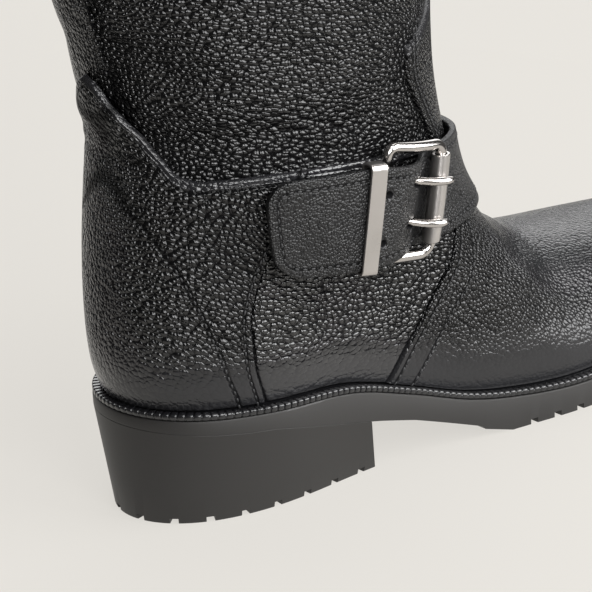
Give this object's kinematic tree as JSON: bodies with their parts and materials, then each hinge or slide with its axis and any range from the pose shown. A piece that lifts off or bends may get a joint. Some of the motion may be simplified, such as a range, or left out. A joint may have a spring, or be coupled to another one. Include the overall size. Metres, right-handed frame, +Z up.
{
  "type": "biker boot",
  "caption": "Right ankle boot in pebbled black leather, with a plain shaft, heel panel, ankle strap in a roller buckle, ribbed welt and block heel; worn on the foot.",
  "frame": {"origin": "on the floor, below the centre of the boot's box", "axes": "+Y towards the toe, +X towards the outer side of the foot with the buckle, +Z up the shaft"},
  "size_m": [0.1098, 0.2888, 0.2621],
  "materials": {
    "black_leather": "glossy pebble grain",
    "dark_rubber": "smooth matt",
    "gloss_welt": "glossy, ribbed",
    "insole_board": "matt lining",
    "dark_nickel": "polished gunmetal"
  },
  "bodies": {
    "root": {"outsole": "dark_rubber", "heel": "dark_rubber", "welt": "gloss_welt", "insole": "insole_board", "upper": "black_leather", "counter": "black_leather", "quarter_outer": "black_leather", "quarter_inner": "black_leather", "vamp": "black_leather", "back_strip": "black_leather", "strap": "black_leather", "chape": "black_leather", "buckle_frame": "dark_nickel", "buckle_roller": "dark_nickel", "prong_upper": "dark_nickel", "prong_lower": "dark_nickel", "keeper": "dark_nickel"}
  },
  "joints": []
}
